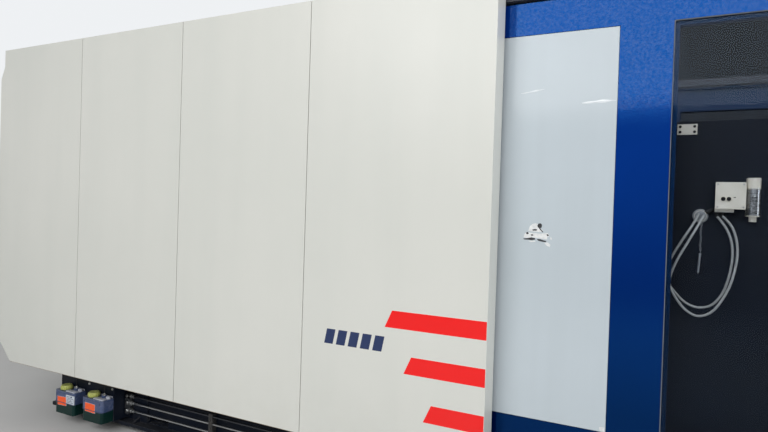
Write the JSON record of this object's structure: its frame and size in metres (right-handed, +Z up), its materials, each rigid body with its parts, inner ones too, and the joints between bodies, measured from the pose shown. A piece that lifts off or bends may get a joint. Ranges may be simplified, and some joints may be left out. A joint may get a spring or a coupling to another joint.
{
  "type": "injection moulding machine",
  "caption": "Horizontal toggle clamp injection moulding machine with covered clamp unit, sliding safety doors with tinted windows, lubrication units, and an injection unit with hopper.",
  "frame": {"origin": "centre of the bounding box's base, on the floor", "axes": "+X along the machine towards the injection end, -Y the operator side, +Z up"},
  "size_m": [12.6, 2.6, 3.3],
  "materials": {
    "bed_paint": "satin",
    "injection_bed_paint": "satin",
    "ground_steel": "ground",
    "plated_steel": "satin",
    "pad_iron": "matt",
    "platen_paint": "satin",
    "bar_chrome": "polished",
    "cover_paint": "satin",
    "door_paint": "orange peel",
    "infill_paint": "gloss",
    "tinted_glazing": "tinted",
    "handle_black": "matt",
    "tank_plastic": "translucent",
    "head_paint": "satin",
    "cabinet_paint": "textured",
    "motor_paint": "satin",
    "hydraulic_grey": "satin",
    "screen": "gloss",
    "stop_red": "gloss",
    "link_iron": "painted",
    "crosshead_iron": "machined",
    "junction_grey": "satin",
    "hose_grey": "matt",
    "hose_black": "matt",
    "barrel_steel": "heat tinted",
    "band_steel": "satin",
    "hopper_steel": "brushed"
  },
  "bodies": {
    "machine": {"bed_front_beam": "bed_paint", "bed_rear_beam": "bed_paint", "bed_cross_members": "bed_paint", "slide_ways": "ground_steel", "injection_bed": "injection_bed_paint", "leveling_pads": "pad_iron", "fixed_platen": "platen_paint", "tie_bars": "bar_chrome", "tie_bar_nuts": "pad_iron", "front_cover_panel_1": "cover_paint", "front_cover_panel_2": "cover_paint", "front_cover_panel_3": "cover_paint", "front_cover_panel_4": "cover_paint", "rear_cover_panels": "cover_paint", "cover_frame": "bed_paint", "tail_and_top_cover": "cover_paint", "door_rails": "plated_steel", "fixed_side_covers": "door_paint", "lube_tanks": "tank_plastic", "lube_heads": "head_paint", "lube_hoses": "hose_black", "bed_pipes": "plated_steel", "electric_cabinet": "cabinet_paint", "pump_motors": "motor_paint", "pumps_and_valves": "hydraulic_grey", "injection_guard": "cover_paint"},
    "front_door": {"front_door_frame": "door_paint", "front_door_panel": "infill_paint", "front_door_window": "tinted_glazing", "front_door_handle": "handle_black"},
    "rear_door": {"rear_door_frame": "door_paint", "rear_door_window": "tinted_glazing"},
    "rear_platen": {"rear_platen": "platen_paint", "clamp_cylinder": "motor_paint"},
    "upper_rear_link": {"upper_rear_link": "link_iron"},
    "upper_front_link": {"upper_front_link": "link_iron"},
    "lower_rear_link": {"lower_rear_link": "link_iron"},
    "lower_front_link": {"lower_front_link": "link_iron"},
    "upper_crosshead_link": {"upper_crosshead_link": "crosshead_iron"},
    "lower_crosshead_link": {"lower_crosshead_link": "crosshead_iron"},
    "crosshead": {"crosshead": "crosshead_iron"},
    "moving_platen": {"moving_platen": "platen_paint", "ejector_cylinder": "hydraulic_grey", "junction_box": "junction_grey", "hose_loops": "hose_grey"},
    "ejector": {"ejector_rod": "bar_chrome"},
    "hmi": {"hmi_panel": "cabinet_paint", "hmi_screen": "screen"},
    "estop": {"estop_button": "stop_red"},
    "cabinet_door": {"cabinet_door": "cabinet_paint"},
    "purge_guard": {"purge_guard": "door_paint"},
    "carriage": {"injection_carriage": "platen_paint", "barrel": "barrel_steel", "heater_bands": "band_steel", "hopper": "hopper_steel", "injection_cylinders": "motor_paint"},
    "hopper_lid": {"hopper_lid": "hopper_steel"},
    "hopper_gate": {"hopper_gate": "plated_steel"},
    "ram": {"ram_plate": "platen_paint"},
    "screw": {"screw": "ground_steel"}
  },
  "joints": [
    {"name": "front_door_slide", "type": "slide", "parent": "machine", "child": "front_door", "axis": [-1, 0, 0], "range_m": [0, 2.1]},
    {"name": "rear_door_slide", "type": "slide", "parent": "machine", "child": "rear_door", "axis": [-1, 0, 0], "range_m": [0, 2.1]},
    {"name": "mould_height", "type": "slide", "parent": "machine", "child": "rear_platen", "axis": [1, 0, 0], "range_m": [0, 0.7]},
    {"name": "clamp_toggle", "type": "hinge", "parent": "rear_platen", "child": "upper_rear_link", "pos_m": [-3.8974, 0, 1.55], "axis": [0, -1, 0], "range_deg": [0, 65.46]},
    {"name": "upper_knee", "type": "hinge", "parent": "upper_rear_link", "child": "upper_front_link", "pos_m": [-2.9487, 0, 1.59972], "axis": [0, -1, 0], "range_deg": [-130.92, 0]},
    {"name": "platen_pivot", "type": "hinge", "parent": "upper_front_link", "child": "moving_platen", "pos_m": [-2, 0, 1.55], "axis": [0, -1, 0], "range_deg": [0, 65.46]},
    {"name": "lower_toggle", "type": "hinge", "parent": "rear_platen", "child": "lower_rear_link", "pos_m": [-3.8974, 0, 1.05], "axis": [0, -1, 0], "range_deg": [-65.46, 0]},
    {"name": "lower_knee", "type": "hinge", "parent": "lower_rear_link", "child": "lower_front_link", "pos_m": [-2.9487, 0, 1.00028], "axis": [0, -1, 0], "range_deg": [0, 130.92]},
    {"name": "upper_crosshead_pivot", "type": "hinge", "parent": "upper_rear_link", "child": "upper_crosshead_link", "pos_m": [-3.36614, 0, 1.69235], "axis": [0, -1, 0], "range_deg": [-130.92, 0]},
    {"name": "crosshead_pivot", "type": "hinge", "parent": "upper_crosshead_link", "child": "crosshead", "pos_m": [-2.83488, 0, 1.55], "axis": [0, -1, 0], "range_deg": [0, 65.46]},
    {"name": "lower_crosshead_pivot", "type": "hinge", "parent": "lower_rear_link", "child": "lower_crosshead_link", "pos_m": [-3.36614, 0, 0.90765], "axis": [0, -1, 0], "range_deg": [0, 130.92]},
    {"name": "ejector_stroke", "type": "slide", "parent": "moving_platen", "child": "ejector", "axis": [1, 0, 0], "range_m": [0, 0.3]},
    {"name": "hmi_swivel", "type": "hinge", "parent": "machine", "child": "hmi", "pos_m": [0.4, -1.185, 1.45], "axis": [0, 0, 1], "range_deg": [0, 60]},
    {"name": "estop_push", "type": "slide", "parent": "hmi", "child": "estop", "axis": [0, 1, 0], "range_m": [0, 0.005], "stiffness_N_per_m": 900, "springref_m": -0.004},
    {"name": "cabinet_door_hinge", "type": "hinge", "parent": "machine", "child": "cabinet_door", "pos_m": [4.1, 1.272, 1.075], "axis": [0, 0, 1], "range_deg": [0, 110]},
    {"name": "purge_guard_slide", "type": "slide", "parent": "machine", "child": "purge_guard", "axis": [1, 0, 0], "range_m": [0, 0.6]},
    {"name": "carriage_slide", "type": "slide", "parent": "machine", "child": "carriage", "axis": [1, 0, 0], "range_m": [-0.24, 0.49]},
    {"name": "hopper_lid_hinge", "type": "hinge", "parent": "carriage", "child": "hopper_lid", "pos_m": [3.57, 0, 3.15], "axis": [0, 1, 0], "range_deg": [0, 100]},
    {"name": "hopper_gate_slide", "type": "slide", "parent": "carriage", "child": "hopper_gate", "axis": [0, -1, 0], "range_m": [0, 0.16]},
    {"name": "injection_stroke", "type": "slide", "parent": "carriage", "child": "ram", "axis": [1, 0, 0], "range_m": [0, 0.58]},
    {"name": "screw_spin", "type": "hinge", "parent": "ram", "child": "screw", "pos_m": [2.9, 0, 1.3], "axis": [1, 0, 0], "continuous": true}
  ],
  "couplings": [
    {"joint": "upper_knee", "follows": "clamp_toggle", "ratio": -2},
    {"joint": "platen_pivot", "follows": "clamp_toggle", "ratio": 1},
    {"joint": "lower_toggle", "follows": "clamp_toggle", "ratio": -1},
    {"joint": "lower_knee", "follows": "clamp_toggle", "ratio": 2},
    {"joint": "upper_crosshead_pivot", "follows": "clamp_toggle", "ratio": -2},
    {"joint": "crosshead_pivot", "follows": "clamp_toggle", "ratio": 1},
    {"joint": "lower_crosshead_pivot", "follows": "clamp_toggle", "ratio": 2}
  ]
}
